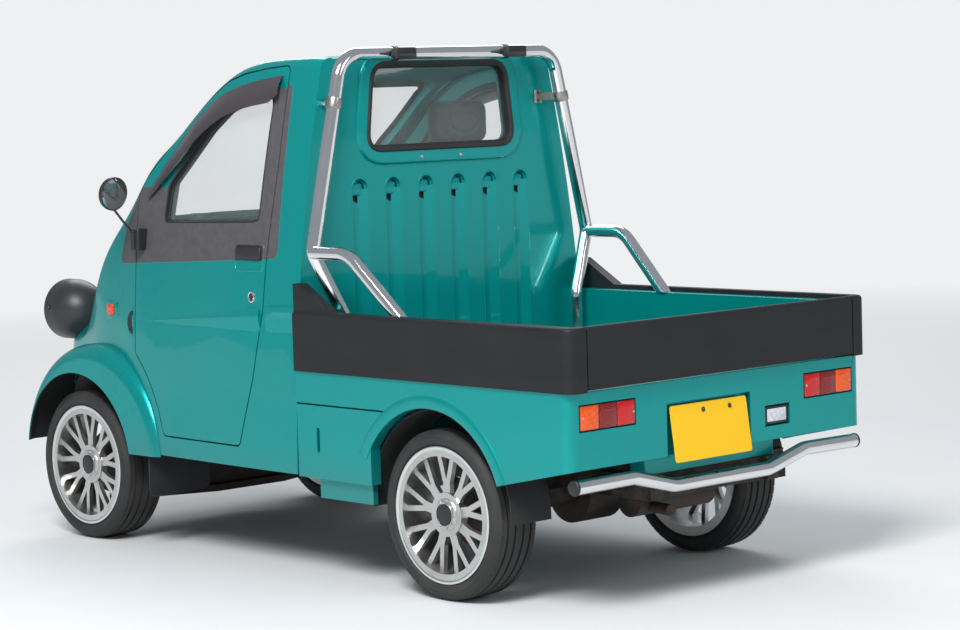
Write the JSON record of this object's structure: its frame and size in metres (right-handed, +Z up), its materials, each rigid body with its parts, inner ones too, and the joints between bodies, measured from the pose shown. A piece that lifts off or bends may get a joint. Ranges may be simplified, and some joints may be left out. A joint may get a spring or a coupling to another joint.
{
  "type": "kei truck",
  "caption": "Small two-seat utility truck with an open load bed, roll hoop, opening doors, front lid and tailgate, steered front wheels and rolling wheels.",
  "frame": {"origin": "on the ground, under the middle of the truck's whole length and width", "axes": "+X points to the nose, +Y to the truck's left side, +Z up"},
  "size_m": [2.7899, 1.492, 1.6499],
  "materials": {
    "body_paint": "metallic teal-blue, glossy clear coat",
    "cladding": "dark charcoal, matte",
    "black_trim": "black, satin",
    "chassis_black": "black, dusty",
    "chrome_tube": "polished tube",
    "wheel_silver": "silver painted spokes",
    "tyre": "black rubber",
    "glass": "clear, lightly green",
    "lamp_glass": "amber and red lenses",
    "clear_lens": "clear moulded lens",
    "plate_yellow": "yellow, blank",
    "cast_metal": "bare cast metal",
    "rust": "rusty steel",
    "interior": "dark grey moulding",
    "seat_cover": "dark grey vinyl",
    "bed_paint": "body colour, scuffed"
  },
  "bodies": {
    "root": {"bed_cladding": "cladding", "bed_tub": "bed_paint", "cab_shell": "body_paint", "chassis_frame": "chassis_black", "dashboard": "interior", "engine_block": "cast_metal", "exhaust": "rust", "front_bumper": "cladding", "front_fenders": "body_paint", "front_suspension": "chassis_black", "headlamp_bowls": "cladding", "headlamp_lenses": "clear_lens", "hoop_lamps": "black_trim", "mud_flaps": "black_trim", "number_plate": "plate_yellow", "rear_axle": "chassis_black", "rear_bumper": "chrome_tube", "rear_panel": "body_paint", "rear_window": "glass", "reversing_lamp": "clear_lens", "roll_hoop": "chrome_tube", "seats": "seat_cover", "side_covers": "body_paint", "side_panels": "body_paint", "tail_lamps": "lamp_glass", "windscreen": "glass"},
    "front_lid": {"front_lid": "body_paint"},
    "tailgate": {"tailgate": "cladding"},
    "steering_wheel": {"steering_wheel": "interior"},
    "door_left": {"door_left": "body_paint", "door_glass_left": "glass", "mirror_left": "black_trim"},
    "knuckle_left": {"knuckle_left": "chassis_black"},
    "wheel_front_left": {"rim_front_left": "wheel_silver", "tyre_front_left": "tyre"},
    "wheel_rear_left": {"rim_rear_left": "wheel_silver", "tyre_rear_left": "tyre"},
    "door_right": {"door_right": "body_paint", "door_glass_right": "glass", "mirror_right": "black_trim"},
    "knuckle_right": {"knuckle_right": "chassis_black"},
    "wheel_front_right": {"rim_front_right": "wheel_silver", "tyre_front_right": "tyre"},
    "wheel_rear_right": {"rim_rear_right": "wheel_silver", "tyre_rear_right": "tyre"}
  },
  "joints": [
    {"name": "tailgate_hinge", "type": "hinge", "parent": "root", "child": "tailgate", "pos_m": [-1.387, 0, 0.67], "axis": [0, -1, 0], "range_deg": [0, 90]},
    {"name": "lid_hinge", "type": "hinge", "parent": "root", "child": "front_lid", "pos_m": [0.985, 0, 1.084], "axis": [0, -1, 0], "range_deg": [0, 60]},
    {"name": "steering_turn", "type": "hinge", "parent": "root", "child": "steering_wheel", "pos_m": [0.545, -0.205, 1], "axis": [-0.788, 0, 0.6157], "range_deg": [-495, 495]},
    {"name": "door_left_hinge", "type": "hinge", "parent": "root", "child": "door_left", "pos_m": [0.756, 0.628, 0.4], "axis": [0, 0.0724, -0.9974], "range_deg": [0, 65]},
    {"name": "steer_left", "type": "hinge", "parent": "root", "child": "knuckle_left", "pos_m": [1.045, 0.485, 0.165], "axis": [0, -0.2452, 0.9695], "range_deg": [-33, 33]},
    {"name": "roll_front_left", "type": "hinge", "parent": "knuckle_left", "child": "wheel_front_left", "pos_m": [1.045, 0.53, 0.2565], "axis": [0, 1, 0], "continuous": true},
    {"name": "roll_rear_left", "type": "hinge", "parent": "root", "child": "wheel_rear_left", "pos_m": [-0.795, 0.53, 0.2565], "axis": [0, 1, 0], "continuous": true},
    {"name": "door_right_hinge", "type": "hinge", "parent": "root", "child": "door_right", "pos_m": [0.756, -0.628, 0.4], "axis": [0, 0.0724, 0.9974], "range_deg": [0, 65]},
    {"name": "steer_right", "type": "hinge", "parent": "root", "child": "knuckle_right", "pos_m": [1.045, -0.485, 0.165], "axis": [0, 0.2452, 0.9695], "range_deg": [-33, 33]},
    {"name": "roll_front_right", "type": "hinge", "parent": "knuckle_right", "child": "wheel_front_right", "pos_m": [1.045, -0.53, 0.2565], "axis": [0, 1, 0], "continuous": true},
    {"name": "roll_rear_right", "type": "hinge", "parent": "root", "child": "wheel_rear_right", "pos_m": [-0.795, -0.53, 0.2565], "axis": [0, 1, 0], "continuous": true}
  ],
  "couplings": [
    {"joint": "steer_right", "follows": "steer_left", "ratio": 1}
  ]
}
